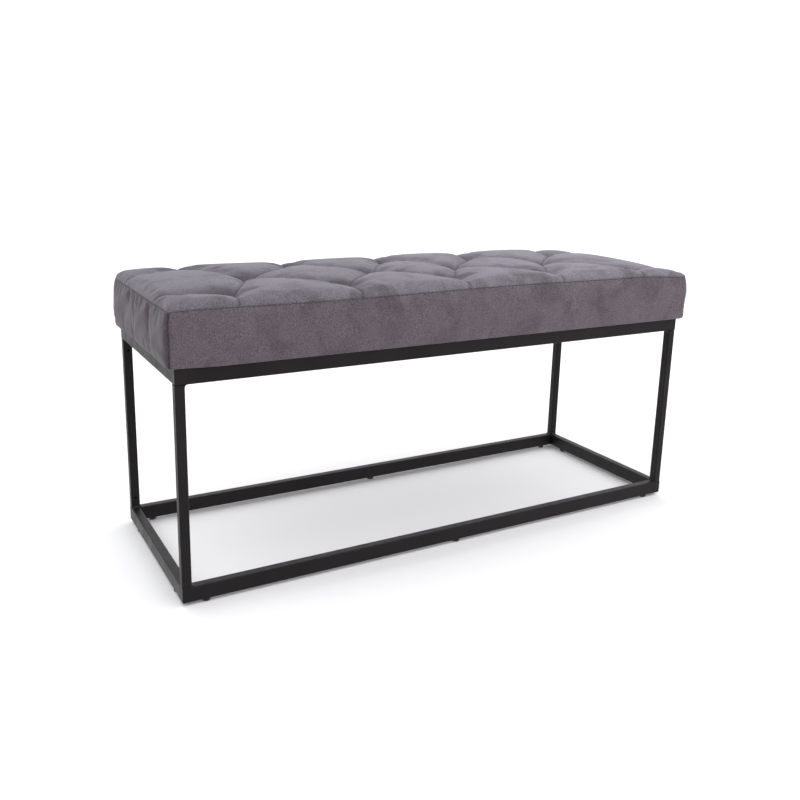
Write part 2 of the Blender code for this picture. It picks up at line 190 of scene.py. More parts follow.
def apply_modifiers(obj):
    graph = bpy.context.evaluated_depsgraph_get()
    made = bpy.data.meshes.new_from_object(obj.evaluated_get(graph))
    old = obj.data
    obj.modifiers.clear()
    obj.data = made
    bpy.data.meshes.remove(old)


def smoothstep(value):
    value = np.clip(value, 0, 1)
    return value * value * (3 - 2 * value)


def distance_to_segment(x, y, a, b):
    ax, ay = a
    dx, dy = b[0] - ax, b[1] - ay
    along = np.clip(((x - ax) * dx + (y - ay) * dy) / (dx * dx + dy * dy), 0, 1)
    return np.hypot(x - ax - along * dx, y - ay - along * dy)


# ---------------------------------------------------------------- camera, light and floor
def make_camera():
    data = bpy.data.cameras.new("camera")
    data.sensor_width = CAMERA_SENSOR
    data.lens = CAMERA_LENS
    data.shift_x, data.shift_y = CAMERA_SHIFT
    yaw, pitch, roll = (math.radians(a) for a in (CAMERA_YAW, CAMERA_PITCH, CAMERA_ROLL))
    forward = Vector((math.sin(yaw) * math.cos(pitch), math.cos(yaw) * math.cos(pitch), -math.sin(pitch)))
    level = Vector((math.cos(yaw), -math.sin(yaw), 0))
    upright = level.cross(forward)
    across = level * math.cos(roll) + upright * math.sin(roll)
    up = upright * math.cos(roll) - level * math.sin(roll)
    camera = link(bpy.data.objects.new("camera", data))
    turn = Matrix((across, up, -forward)).transposed().to_4x4()
    camera.matrix_world = Matrix.Translation(CAMERA_PLACE) @ turn
    bpy.context.scene.camera = camera


def area_light(name, place, aim, size, watts, colour):
    data = bpy.data.lights.new(name, "AREA")
    data.shape = "RECTANGLE"
    data.size, data.size_y = size
    data.energy = watts
    data.color = colour
    light = link(bpy.data.objects.new(name, data))
    light.location = place
    light.rotation_euler = (Vector(aim) - Vector(place)).to_track_quat("-Z", "Y").to_euler()


def make_stage():
    world = bpy.data.worlds.new("studio")
    bpy.context.scene.world = world
    sky = Shading(world)
    direction = sky.node("ShaderNodeTexCoord").outputs["Generated"]
    to_back = sky.node("ShaderNodeVectorMath", {0: direction, 1: BACK_DIRECTION})
    to_back.operation = "DOT_PRODUCT"
    behind = sky.spread(to_back.outputs["Value"], -0.60, 0.60)
    shade = sky.mix(behind, FRONT_OF_STUDIO, BACK_OF_STUDIO)
    overhead = sky.spread(sky.split(direction)["Z"], 0.45, 0.80)
    shade = sky.mix(overhead, shade, TOP_OF_STUDIO)
    sky.put(sky.nodes["Background"].inputs["Color"], shade)

    for name, place, size, watts, colour in LIGHTS:
        area_light(name, place, (0, 0, 0.3), size, watts, colour)

    floor_look = {"Base Color": (0.90, 0.90, 0.90, 1), "Roughness": 0.9, "Specular IOR Level": 0.1}
    floor_material = new_material("floor").surface(floor_look)
    reach = 12.0
    corners = [(-reach, -reach, 0), (reach, -reach, 0), (reach, reach, 0), (-reach, reach, 0)]
    floor = mesh_object("floor", corners, [(0, 1, 2, 3)], floor_material, smooth=False)
    floor.visible_glossy = False
    bpy.context.scene.view_settings.view_transform = "Standard"


# ---------------------------------------------------------------- materials
class Shading:
    """The nodes of a material or of the world, with one call for each kind used here."""

    def __init__(self, owner):
        owner.use_nodes = True
        self.owner = owner
        self.nodes = owner.node_tree.nodes
        self.links = owner.node_tree.links
        self.shader = self.nodes.get("Principled BSDF")

    def put(self, socket, value):
        """Links an output to the socket, or sets the socket's own value."""
        if isinstance(value, bpy.types.NodeSocket):
            self.links.new(value, socket)
        else:
            socket.default_value = value

    def node(self, kind, inputs=()):
        made = self.nodes.new(kind)
        for name, value in dict(inputs).items():
            self.put(made.inputs[name], value)
        return made

    def surface(self, inputs):
        """Fills in the shader's own sockets and gives the finished material."""
        for name, value in inputs.items():
            self.put(self.shader.inputs[name], value)
        return self.owner

    def place(self):
        """The object's own coordinates, in metres."""
        return self.node("ShaderNodeTexCoord").outputs["Object"]

    def split(self, vector):
        return self.node("ShaderNodeSeparateXYZ", {"Vector": vector}).outputs

    def attribute(self, name):
        made = self.node("ShaderNodeAttribute")
        made.attribute_name = name
        return made.outputs["Fac"]

    def noise(self, scale, detail=2.0, roughness=0.5, distortion=0.0, stretch=None):
        """The value of a noise texture; scale is in cycles per metre."""
        place = self.place()
        if stretch:
            place = self.node("ShaderNodeMapping", {"Vector": place, "Scale": stretch}).outputs["Vector"]
        made = self.node("ShaderNodeTexNoise", {"Vector": place, "Scale": scale, "Detail": detail})
        self.put(made.inputs["Roughness"], roughness)
        self.put(made.inputs["Distortion"], distortion)
        return made.outputs["Fac"]

    def cells(self, scale, randomness=1.0):
        """The distance to the nearest of the points scattered through the object."""
        inputs = {"Vector": self.place(), "Scale": scale, "Randomness": randomness}
        return self.node("ShaderNodeTexVoronoi", inputs).outputs["Distance"]

    def spread(self, value, low, high, to_low=0.0, to_high=1.0):
        """value stretched so that low..high becomes to_low..to_high, clamped."""
        inputs = {"Value": value, "From Min": low, "From Max": high, "To Min": to_low, "To Max": to_high}
        return self.node("ShaderNodeMapRange", inputs).outputs["Result"]

    def math(self, operation, first, second=0.0):
        made = self.node("ShaderNodeMath", {0: first, 1: second})
        made.operation = operation
        return made.outputs["Value"]

    def mix(self, factor, first, second, blend="MIX"):
        """Two colours, mixed by factor."""
        made = self.node("ShaderNodeMix")
        made.data_type = "RGBA"
        made.blend_type = blend
        for name, value in (("Factor", factor), ("A", first), ("B", second)):
            socket = next(s for s in made.inputs if s.name == name and s.enabled)
            self.put(socket, (*value, 1) if isinstance(value, tuple) else value)
        return next(s for s in made.outputs if s.enabled)

    def bump(self, height, strength, distance, below=None):
        """Adds bumps to the shader, over those of below."""
        inputs = {"Height": height, "Strength": strength, "Distance": distance}
        if below:
            inputs["Normal"] = below
        normal = self.node("ShaderNodeBump", inputs).outputs["Normal"]
        self.put(self.shader.inputs["Normal"], normal)
        return normal


def new_material(name):
    return Shading(bpy.data.materials.new(name))


def microfibre():
    """Brushed suede-look cloth in soft patches of tone. Its colour also holds painted light and shade: the
    end panels darker and the top panel lighter (partly the nap lying another way on each panel), the cloth
    lighter to the right, and darker in the pleats, seams and beside the tufts.
    """
    new = new_material("grey_microfibre")
    # painted shade: the end panels' cloth is made darker than the front and back, partly for the nap lying
    # another way
    side = new.mix(new.attribute("end_panel"), (0.106, 0.088, 0.099), (0.072, 0.055, 0.062))
    # partly painted light: the top panel's cloth is lighter and cooler than the sides, partly for its nap
    panel = new.mix(new.attribute("top_panel"), side, (0.163, 0.151, 0.174))
    patches = new.spread(new.noise(17, 3, 0.55, 0.6), 0.48, 0.66, 0.0, 0.60)
    colour = new.mix(patches, panel, (0.068, 0.057, 0.063))
    light_nap = new.spread(new.noise(31, 2, 0.5, 0.3, (1, 1, 0.7)), 0.56, 0.76, 0.0, 0.30)
    colour = new.mix(light_nap, colour, (0.155, 0.137, 0.147))
    grain = new.noise(540, 4, 0.75)
    dark_grain = new.mix(1.0, colour, (0.58, 0.56, 0.57), "MULTIPLY")
    light_grain = new.mix(1.0, colour, (1.42, 1.42, 1.42), "MULTIPLY")
    colour = new.mix(new.spread(grain, 0.35, 0.65), dark_grain, light_grain)
    # painted light and shade: the cloth is darker to the left and lighter to the right, more so on the top
    # panel, standing in for sheen
    to_right = new.spread(new.split(new.place())["X"], -0.5, 0.35)
    painted_left_shade = new.mix(new.attribute("top_panel"), (0.94, 0.94, 0.94), (0.79, 0.79, 0.79))
    painted_sheen_gradient = new.mix(to_right, painted_left_shade, (1.13, 1.13, 1.13))
    colour = new.mix(1.0, colour, painted_sheen_gradient, "MULTIPLY")
    # painted shade: the fold attribute darkens the cloth towards near black in the pleats, along the seams
    # and beside the tufts
    painted_fold_shade = new.spread(new.attribute("fold"), 0.0, 1.0, 0.0, 0.78)
    nap = new.bump(new.noise(140, 2, 0.6), 0.25, 0.0008)
    new.bump(grain, 0.55, 0.0004, nap)
    return new.surface(
        {
            "Base Color": new.mix(painted_fold_shade, colour, (0.018, 0.014, 0.016)),
            "Roughness": 0.92,
            "Specular IOR Level": 0.20,
            "Sheen Weight": 0.26,
            "Sheen Roughness": 0.38,
            "Sheen Tint": (0.86, 0.86, 0.96, 1),
        }
    )


def powder_coat():
    new = new_material("black_powder_coat")
    cloud = new.spread(new.noise(9, 3), 0.35, 0.70)
    colour = new.mix(cloud, (0.0080, 0.0062, 0.0066), (0.0124, 0.0098, 0.0106))
    speck = new.spread(new.noise(1500, 1), 0.66, 0.74, 0.0, 0.35)
    colour = new.mix(speck, colour, (0.05, 0.05, 0.052))
    gloss = new.spread(new.noise(60, 3), 0.3, 0.7, 0.40, 0.52)
    new.bump(new.noise(1100, 2, 0.6), 0.30, 0.00022)
    return new.surface({"Base Color": colour, "Roughness": gloss, "Specular IOR Level": 0.26})


def moulded_plastic():
    new = new_material("black_plastic")
    cloud = new.spread(new.noise(300, 2), 0.3, 0.7)
    colour = new.mix(cloud, (0.010, 0.010, 0.011), (0.017, 0.017, 0.018))
    gloss = new.spread(new.noise(500, 2), 0.3, 0.7, 0.42, 0.60)
    new.bump(new.noise(2600, 2), 0.25, 0.0001)
    return new.surface({"Base Color": colour, "Roughness": gloss})


def zinc_plate():
    new = new_material("zinc_plated_steel")
    cloud = new.spread(new.noise(420, 3, 0.6, 1.2), 0.3, 0.7)
    colour = new.mix(cloud, (0.50, 0.50, 0.47), (0.70, 0.70, 0.69))
    gloss = new.spread(new.noise(900, 2), 0.3, 0.7, 0.26, 0.46)
    new.bump(new.noise(1900, 2), 0.15, 0.0001)
    return new.surface({"Base Color": colour, "Roughness": gloss, "Metallic": 1.0})


def birch_plywood():
    """Long grain on the faces, and the dark and light plies round the edge."""
    new = new_material("birch_plywood")
    long_grain = new.noise(30, 5, 0.65, 0.8, (1.2, 14, 1))
    colour = new.mix(new.spread(long_grain, 0.3, 0.7), (0.50, 0.34, 0.19), (0.70, 0.53, 0.34))
    plies = new.math("PINGPONG", new.split(new.place())["Z"], 0.0013)
    dark_ply = new.spread(plies, 0.00055, 0.00075, 0.0, 0.6)
    normal = new.node("ShaderNodeNewGeometry").outputs["Normal"]
    on_edge = new.spread(new.math("ABSOLUTE", new.split(normal)["Z"]), 0.3, 0.6, 1.0, 0.0)
    colour = new.mix(new.math("MULTIPLY", dark_ply, on_edge), colour, (0.26, 0.16, 0.08))
    new.bump(long_grain, 0.2, 0.0003)
    return new.surface({"Base Color": colour, "Roughness": 0.65})


def foam():
    new = new_material("cream_foam")
    cells = new.cells(700)
    colour = new.mix(new.spread(cells, 0.1, 0.6), (0.60, 0.54, 0.38), (0.82, 0.77, 0.60))
    new.bump(cells, 0.6, 0.0008)
    return new.surface({"Base Color": colour, "Roughness": 0.95})


def twine():
    new = new_material("waxed_twine")
    strands = new.node("ShaderNodeTexWave", {"Vector": new.place(), "Scale": 260, "Distortion": 1.5})
    strands.bands_direction = "DIAGONAL"
    colour = new.mix(strands.outputs["Fac"], (0.40, 0.38, 0.33), (0.62, 0.60, 0.54))
    new.bump(strands.outputs["Fac"], 0.4, 0.0003)
    return new.surface({"Base Color": colour, "Roughness": 0.7})


def nonwoven():
    """Black spunbond sheet: random fibres, pressed in a grid of small dots."""
    new = new_material("black_nonwoven")
    fibres = new.noise(420, 4, 0.7, 2.0)
    colour = new.mix(new.spread(fibres, 0.3, 0.7), (0.010, 0.010, 0.011), (0.034, 0.034, 0.036))
    dots = new.cells(480, 0.0)
    colour = new.mix(new.spread(dots, 0.18, 0.30, 1.0, 0.0), colour, (0.008, 0.008, 0.008))
    new.bump(dots, 0.35, 0.0003, new.bump(fibres, 0.4, 0.0003))
    return new.surface({"Base Color": colour, "Roughness": 0.85, "Sheen Weight": 0.08})


def thread():
    new = new_material("dark_thread")
    ply = new.noise(1300, 2, 0.6)
    colour = new.mix(new.spread(ply, 0.3, 0.7), (0.028, 0.022, 0.025), (0.062, 0.050, 0.055))
    new.bump(ply, 0.4, 0.0002)
    return new.surface({"Base Color": colour, "Roughness": 0.6})


# ---------------------------------------------------------------- the cushion's form
def tuft_places():
    places = []
    for node in TIES:
        low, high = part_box(node)
        places.append((round((low.x + high.x) / 2, 4), round((low.y + high.y) / 2, 4)))
    return places


TUFTS = tuft_places()
ROWS = sorted({y for _, y in TUFTS})
COLUMNS = sorted({x for x, _ in TUFTS})


def mesh_lines(half, stops, edge_cells):
    """Mesh lines from -half to half: even between the stops, and finer beside the seam."""
    edge = half - stops[-1]
    even = np.linspace(0, edge, edge_cells + 1)
    steps = np.concatenate([EDGE_STEPS, even[even > EDGE_STEPS[-1] + 0.002]])
    left = -half + steps
    middle = [np.linspace(a, b, TUFT_CELLS + 1)[1:] for a, b in zip(stops, stops[1:])]
    right = half - steps[::-1][1:]
    return np.concatenate([left, *middle, right])


LINES_X = mesh_lines(HALF_LENGTH, COLUMNS, TUFT_CELLS)
LINES_Y = mesh_lines(HALF_DEPTH, ROWS, EDGE_CELLS)


def column_of(x):
    return int(np.argmin(np.abs(LINES_X - x)))


def row_of(y):
    return int(np.argmin(np.abs(LINES_Y - y)))


def pleat_paths():
    """Each pleat as (grid points, whether it ends on the seam), from tuft to tuft or from tuft to seam."""
    pitch = COLUMNS[1] - COLUMNS[0]
    paths = []
    for x, y in TUFTS:
        for other_x, other_y in TUFTS:
            neighbour = abs(abs(other_x - x) - pitch) < 1e-4 and ROWS.index(other_y) == ROWS.index(y) + 1
            if neighbour:
                i, j = column_of(x), row_of(y)
                step = 1 if other_x > x else -1
                paths.append(([(i + step * k, j + k) for k in range(TUFT_CELLS + 1)], False))
    last_column, last_row = len(LINES_X) - 1, len(LINES_Y) - 1
    for x, y in TUFTS:
        i, j = column_of(x), row_of(y)
        if y == ROWS[0]:
            paths.append(([(i, k) for k in range(j, -1, -1)], True))
        if y == ROWS[-1]:
            paths.append(([(i, k) for k in range(j, last_row + 1)], True))
        if y in (ROWS[0], ROWS[-1]) and x == COLUMNS[0]:
            paths.append(([(k, j) for k in range(i, -1, -1)], True))
        if y in (ROWS[0], ROWS[-1]) and x == COLUMNS[-1]:
            paths.append(([(k, j) for k in range(i, last_column + 1)], True))
    return paths


def seam_height(x, y):
    """The seam is sewn by hand and wanders by a few millimetres, lower at the two ends."""
    along = x / HALF_LENGTH
    droop = 0.0032 * smoothstep((along - 0.86) / 0.14) + 0.0012 * smoothstep((-0.92 - along) / 0.08)
    wander = 0.0012 * np.sin(5.1 * along + 0.8) + 0.0004 * np.sin(23 * y)
    return SEAM_HEIGHT - 0.0005 + 0.0028 * along + wander - droop


def film(fixed, values, pull, target):
    """A film over the grid that is held at values where fixed, and drawn to target elsewhere."""
    hx, hy = np.diff(LINES_X), np.diff(LINES_Y)
    west = (2 / (hx[:-1] * (hx[:-1] + hx[1:])))[:, None]
    east = (2 / (hx[1:] * (hx[:-1] + hx[1:])))[:, None]
    south = (2 / (hy[:-1] * (hy[:-1] + hy[1:])))[None, :]
    north = (2 / (hy[1:] * (hy[:-1] + hy[1:])))[None, :]
    whole = west + east + south + north + pull
    field = values.copy()
    inside = fixed[1:-1, 1:-1]
    held = values[1:-1, 1:-1]
    for _ in range(2500):
        middle = (
            west * field[:-2, 1:-1]
            + east * field[2:, 1:-1]
            + south * field[1:-1, :-2]
            + north * field[1:-1, 2:]
            + pull * target
        ) / whole
        field[1:-1, 1:-1] = np.where(inside, held, middle)
    return field


def top_heights():
    """The height of the tufted top panel at each grid point."""
    shape = (len(LINES_X), len(LINES_Y))
    x, y = np.meshgrid(LINES_X, LINES_Y, indexing="ij")
    fixed = np.zeros(shape, bool)
    base = np.full(shape, SEAM_HEIGHT)
    fixed[[0, -1], :] = True
    fixed[:, [0, -1]] = True
    base[fixed] = seam_height(x, y)[fixed] + SHOULDER_RISE
    puff = np.where(fixed, PUFF_AT_SEAM, 0.0)
    for points, to_seam in pleat_paths():
        end = base[points[-1]] - 0.0015 if to_seam else TUFT_HEIGHT
        count = len(points) - 1
        for number, point in enumerate(points[:-1] if to_seam else points):
            share = number / count
            arch = math.sin(math.pi * share) ** 0.7
            rise = 0.3 * PLEAT_RISE if to_seam else PLEAT_RISE
            base[point] = TUFT_HEIGHT + (end - TUFT_HEIGHT) * share + rise * arch
            fixed[point] = True
            puff[point] = PUFF_AT_SEAM * share**4 if to_seam else 0.0
    base = film(fixed, base, 0.0, 0.0)
    puff = film(fixed, puff, 1 / PUFF_REACH**2, 1.0)
    variety = 1 + 0.06 * np.sin(7.3 * x + 2.1) * np.cos(11.0 * y + 0.7)
    upper = base + PUFF_RISE * variety * np.clip(puff, 0, 1) ** PUFF_POWER
    depth, radius = DIMPLE
    for tuft_x, tuft_y in TUFTS:
        upper -= depth * np.exp(-((x - tuft_x) ** 2 + 1.6 * (y - tuft_y) ** 2) / (2 * radius**2))
    slope = RIGHT_SLOPE * smoothstep((x / HALF_LENGTH - 0.74) / 0.26)
    seam_side = smoothstep((HALF_LENGTH - x) / 0.012)
    return upper - shoulder_drop(x, y) - slope * seam_side


def shoulder_drop(x, y):
    """How far the rounded edge lies under the rest of the top panel: a quarter ellipse."""
    reach_x = np.where(x > 0, RIGHT_REACH, SHOULDER_REACH)
    short_x = 1 - np.clip((HALF_LENGTH - np.abs(x)) / reach_x, 0, 1)
    short_y = 1 - np.clip((HALF_DEPTH - np.abs(y)) / SHOULDER_REACH, 0, 1)
    short = np.clip((short_x**4 + short_y**4) ** 0.25, 0, 1)
    return SHOULDER_RISE * (1 - np.sqrt(1 - short**2))


TOP_HEIGHTS = top_heights()


def hand_set(x, y):
    """Moves the plan of the top panel a little, because the tufts were set by hand."""
    dx, dy = np.zeros_like(x), np.zeros_like(y)
    for (from_x, from_y), (move_x, move_y) in TUFT_WANDER.items():
        near = np.exp(-((x - from_x) ** 2 + (y - from_y) ** 2) / (2 * 0.042**2))
        dx += move_x * near
        dy += move_y * near
    free_x = smoothstep((HALF_LENGTH - np.abs(x)) / 0.030)
    free_y = smoothstep((HALF_DEPTH - np.abs(y)) / 0.030)
    over_the_end = RIGHT_BULGE * smoothstep((x / HALF_LENGTH - 0.88) / 0.12)
    return x + dx * free_x + over_the_end, y + dy * free_y


def round_plan(x, y, corner=PLAN_CORNER):
    """Takes the square corners of the grid to round ones, seen from above."""
    over_x = np.clip(np.abs(x) - (HALF_LENGTH - corner), 0, None)
    over_y = np.clip(np.abs(y) - (HALF_DEPTH - corner), 0, None)
    turned_x = over_x * np.sqrt(1 - over_y**2 / (2 * corner**2))
    turned_y = over_y * np.sqrt(1 - over_x**2 / (2 * corner**2))
    return x + np.sign(x) * (turned_x - over_x), y + np.sign(y) * (turned_y - over_y)


def perimeter():
    """The grid points of the seam, anticlockwise seen from above, from the front left corner."""
    columns, rows = len(LINES_X), len(LINES_Y)
    loop = [(i, 0) for i in range(columns - 1)]
    loop += [(columns - 1, j) for j in range(rows - 1)]
    loop += [(i, rows - 1) for i in range(columns - 1, 0, -1)]
    loop += [(0, j) for j in range(rows - 1, 0, -1)]
    return loop


def side_wrinkles(x, y, down):
    """How far the side panels stand out beyond their even bulge: soft pulls in the cloth."""
    along = np.where(np.abs(x) >= HALF_LENGTH - PLAN_CORNER, y, x)
    fade = np.sin(np.pi * np.clip(down, 0, 1))
    waves = 0.00055 * np.sin(31 * along + 3.0 * down) + 0.00035 * np.sin(67 * along - 5.0 * down + 1.3)
    end_panel = x < -HALF_LENGTH + PLAN_CORNER
    folds = np.zeros_like(down)
    for start, stop, width, height in LEFT_FOLDS:
        folds += height * np.exp(-((distance_to_segment(y, down * SIDE_HEIGHT, start, stop) / width) ** 2))
    return waves * fade + np.where(end_panel, folds, 0)


SIDE_HEIGHT = SEAM_HEIGHT - HEM_BOTTOM
# folds of the left end panel: from, to (y and distance below the seam), half width and height
LEFT_FOLDS = (
    ((-0.160, 0.012), (-0.100, 0.050), 0.009, 0.0016),
    ((-0.130, 0.004), (-0.070, 0.030), 0.008, -0.0012),
    ((-0.060, 0.010), (0.010, 0.060), 0.012, 0.0016),
    ((0.020, 0.006), (0.090, 0.055), 0.011, -0.0013),
    ((0.060, 0.008), (0.140, 0.045), 0.012, 0.0015),
    ((-0.165, 0.070), (-0.060, 0.062), 0.006, 0.0018),
)


def cover_form():
    """(points, faces, rings, corner): the tufted top, the side panels and the hem turned under the board.

    rings holds the point numbers of each loop round the cushion, from the seam to the hem's inner edge.
    """
    x, y = np.meshgrid(LINES_X, LINES_Y, indexing="ij")
    round_x, round_y = round_plan(x, y)
    plan_x, plan_y = hand_set(round_x, round_y)
    columns, rows = x.shape
    points = np.stack([plan_x, plan_y, TOP_HEIGHTS], axis=-1).reshape(-1, 3)

    split = {}
    for path, _ in pleat_paths():
        for (i, j), (k, l) in zip(path, path[1:]):
            if i != k and j != l:
                split[(min(i, k), min(j, l))] = (k - i) * (l - j) > 0
    faces = []
    for i in range(columns - 1):
        for j in range(rows - 1):
            a, b, c, d = (p * rows + q for p, q in ((i, j), (i + 1, j), (i + 1, j + 1), (i, j + 1)))
            if (i, j) not in split:
                faces.append((a, b, c, d))
            elif split[(i, j)]:
                faces += [(a, b, c), (a, c, d)]
            else:
                faces += [(a, b, d), (b, c, d)]

    loop = perimeter()
    ring = [i * rows + j for i, j in loop]
    rings = [ring]
    px, py = round_x.reshape(-1)[ring], round_y.reshape(-1)[ring]
    seam = points[ring, 2]
    # outward directions: along the axes on the straights, and turning round the corners
    ox = np.sign(px) * np.clip(np.abs(px) - (HALF_LENGTH - PLAN_CORNER), 0, None)
    oy = np.sign(py) * np.clip(np.abs(py) - (HALF_DEPTH - PLAN_CORNER), 0, None)
    length = np.hypot(ox, oy)
    ox, oy = ox / length, oy / length
    points[ring, 0] -= ox * SEAM_DEPTH
    points[ring, 1] -= oy * SEAM_DEPTH
    px, py = points[ring, 0], points[ring, 1]
    corner = np.array([i in (0, columns - 1) and j in (0, rows - 1) for i, j in loop])

    points = list(map(tuple, points))

    def add_ring(xs, ys, zs):
        first = len(points)
        points.extend(zip(xs, ys, zs))
        fresh = list(range(first, first + len(loop)))
        above = rings[-1]
        for k in range(len(loop)):
            n = (k + 1) % len(loop)
            faces.append((above[k], fresh[k], fresh[n], above[n]))
        rings.append(fresh)

    left = np.clip(-ox, 0, 1)
    left_sag = 0.0016 - 0.0022 * np.exp(-(((py - 0.055) / 0.050) ** 2))
    left_sag -= 0.0012 * np.exp(-(((py + 0.075) / 0.030) ** 2))
    sag = HEM_SAG * smoothstep((px / HALF_LENGTH + 1.0) / 0.16) * (1 - left) + left_sag * left
    roll = HEM_ROUND + 0.0030 * np.clip(ox, 0, 1) ** 2
    bottom = HEM_BOTTOM + roll - sag
    levels = np.concatenate([np.array([0.0016, 0.0040, 0.0070]) / SIDE_HEIGHT, np.linspace(0.14, 1, 15)])
    bulge = SIDE_BULGE + LEFT_BULGE * left
    drawn_in = np.where(corner, CORNER_SEAM_DEPTH, 0)
    for down in levels:
        full = math.sin(math.pi / 2 * min(down / 0.45, 1.0)) ** 0.9
        full *= 1 - (1 - LOWER_BULGE) * smoothstep((down - 0.5) / 0.5)
        out = SEAM_DEPTH + bulge * full + side_wrinkles(px, py, np.full(len(px), down))
        out -= drawn_in
        add_ring(px + ox * out, py + oy * out, seam + (bottom - seam) * down)
    for angle in np.radians((30, 60, 90, 125, 160)):
        out = SEAM_DEPTH + bulge * LOWER_BULGE + roll * (math.cos(angle) - 1) - drawn_in
        add_ring(px + ox * out, py + oy * out, bottom - roll * math.sin(angle))
    for reach in (0.012, 0.019, HEM_WIDTH):
        add_ring(
            px * (HALF_LENGTH - reach) / HALF_LENGTH,
            py * (HALF_DEPTH - reach) / HALF_DEPTH,
            np.full(len(px), HEM_BOTTOM),
        )
    add_ring(
        px * (HALF_LENGTH - HEM_WIDTH) / HALF_LENGTH,
        py * (HALF_DEPTH - HEM_WIDTH) / HALF_DEPTH,
        np.full(len(px), HEM_BOTTOM + HEM_THICK),
    )
    return np.array(points), faces, rings, corner


def close_hole(mesh):
    """Fills the one opening left in a mesh with a flat face."""
    edit = bmesh.new()
    edit.from_mesh(mesh)
    rim = [edge for edge in edit.edges if edge.is_boundary]
    bmesh.ops.contextual_create(edit, geom=rim)
    edit.to_mesh(mesh)
    edit.free()


def inflate(obj, pins, pressure, frames, cap):
    """Blows the cover up a little as cloth, held where pins is 1, and moves no point by more than cap."""
    group = obj.vertex_groups.new(name="pins")
    for weight in np.unique(pins):
        if weight > 0:
            group.add([int(i) for i in np.nonzero(pins == weight)[0]], float(weight), "REPLACE")
    before = coordinates(obj.data)
    modifier = obj.modifiers.new("cloth", "CLOTH")
    cloth = modifier.settings
    cloth.quality = 4
    cloth.mass = 0.25
    cloth.tension_stiffness = 18
    cloth.compression_stiffness = 12
    cloth.shear_stiffness = 6
    cloth.bending_stiffness = 0.8
    cloth.shrink_min = -0.012
    cloth.vertex_group_mass = "pins"
    cloth.use_pressure = True
    cloth.uniform_pressure_force = pressure
    cloth.effector_weights.gravity = 0
    modifier.collision_settings.use_collision = False
    modifier.point_cache.frame_start = 1
    modifier.point_cache.frame_end = frames
    scene = bpy.context.scene
    for number in range(1, frames + 1):
        scene.frame_set(number)
    graph = bpy.context.evaluated_depsgraph_get()
    blown = obj.evaluated_get(graph).to_mesh()
    after = coordinates(blown)
    obj.evaluated_get(graph).to_mesh_clear()
    obj.modifiers.remove(modifier)
    scene.frame_set(1)
    step = after - before
    length = np.linalg.norm(step, axis=1, keepdims=True)
    set_coordinates(obj.data, before + step * np.minimum(1, cap / np.maximum(length, 1e-9)))


def mark_edges(mesh, pairs, crease):
    wanted = {tuple(sorted(p)) for p in pairs}
    hard = np.array([tuple(sorted(e.vertices)) in wanted for e in mesh.edges])
    creases = mesh.attributes.get("crease_edge") or mesh.attributes.new("crease_edge", "FLOAT", "EDGE")
    values = np.zeros(len(mesh.edges), np.float32)
    creases.data.foreach_get("value", values)
    values[hard] = crease
    creases.data.foreach_set("value", values)
    sharp = mesh.attributes.get("sharp_edge") or mesh.attributes.new("sharp_edge", "BOOLEAN", "EDGE")
    flags = np.zeros(len(mesh.edges), bool)
    sharp.data.foreach_get("value", flags)
    flags |= hard
    sharp.data.foreach_set("value", flags)


def pleat_lines():
    """Each pleat's points, seen from above, where they were set."""
    lines = []
    for path, _ in pleat_paths():
        x = np.array([LINES_X[i] for i, _ in path])
        y = np.array([LINES_Y[j] for _, j in path])
        lines.append(np.stack(hand_set(x, y), axis=-1)[::3])
    return lines


def float_attribute(mesh, name, values):
    made = mesh.attributes.new(name, "FLOAT", "POINT")
    made.data.foreach_set("value", np.asarray(values, np.float32))


def seat_cover(cloth_material):
    points, faces, rings, corner = cover_form()
    obj = mesh_object("seat_cover", points, faces, cloth_material)
    rows = len(LINES_Y)
    pleats = [[i * rows + j for i, j in path] for path, _ in pleat_paths()]
    top_count = len(LINES_X) * rows

    pins = np.zeros(len(points))
    pins[rings[0]] = 1
    for ring in rings[-10:]:
        pins[ring] = 1
    corner_columns = np.nonzero(corner)[0]
    for ring in rings:
        pins[[ring[k] for k in corner_columns]] = 1
    for path in pleats:
        pins[path] = 1
    inflate(obj, pins, pressure=3.0, frames=20, cap=0.0015)

    pairs = [pair for path in pleats for pair in zip(path, path[1:])]
    mark_edges(obj.data, pairs, 1.0)
    seam_pairs = list(zip(rings[0], rings[0][1:] + rings[0][:1]))
    columns = [(a[k], b[k]) for a, b in zip(rings[:-4], rings[1:-4]) for k in corner_columns]
    mark_edges(obj.data, seam_pairs + columns, 0.9)

    # top_panel picks the top panel's lighter cloth, which is partly painted light; the seam ring's 0.5
    # later picks painted shade along the seam
    top = np.zeros(len(points))
    top[:top_count] = 1
    top[rings[0]] = 0.5
    float_attribute(obj.data, "top_panel", top)

    subdivide = obj.modifiers.new("smooth", "SUBSURF")
    subdivide.levels = 1
    subdivide.render_levels = 1
    apply_modifiers(obj)
    close_hole(obj.data)
    wall = [rings[k] for k in range(0, len(rings) - 7)]
    corner_paths = [np.array([points[ring[k]] for ring in wall]) for k in corner_columns]
    tuck_pleats(obj.data, corner_paths)
    piece(obj, "seat_fabric", *COVER_NODES)
    return points[rings[0]], corner_paths


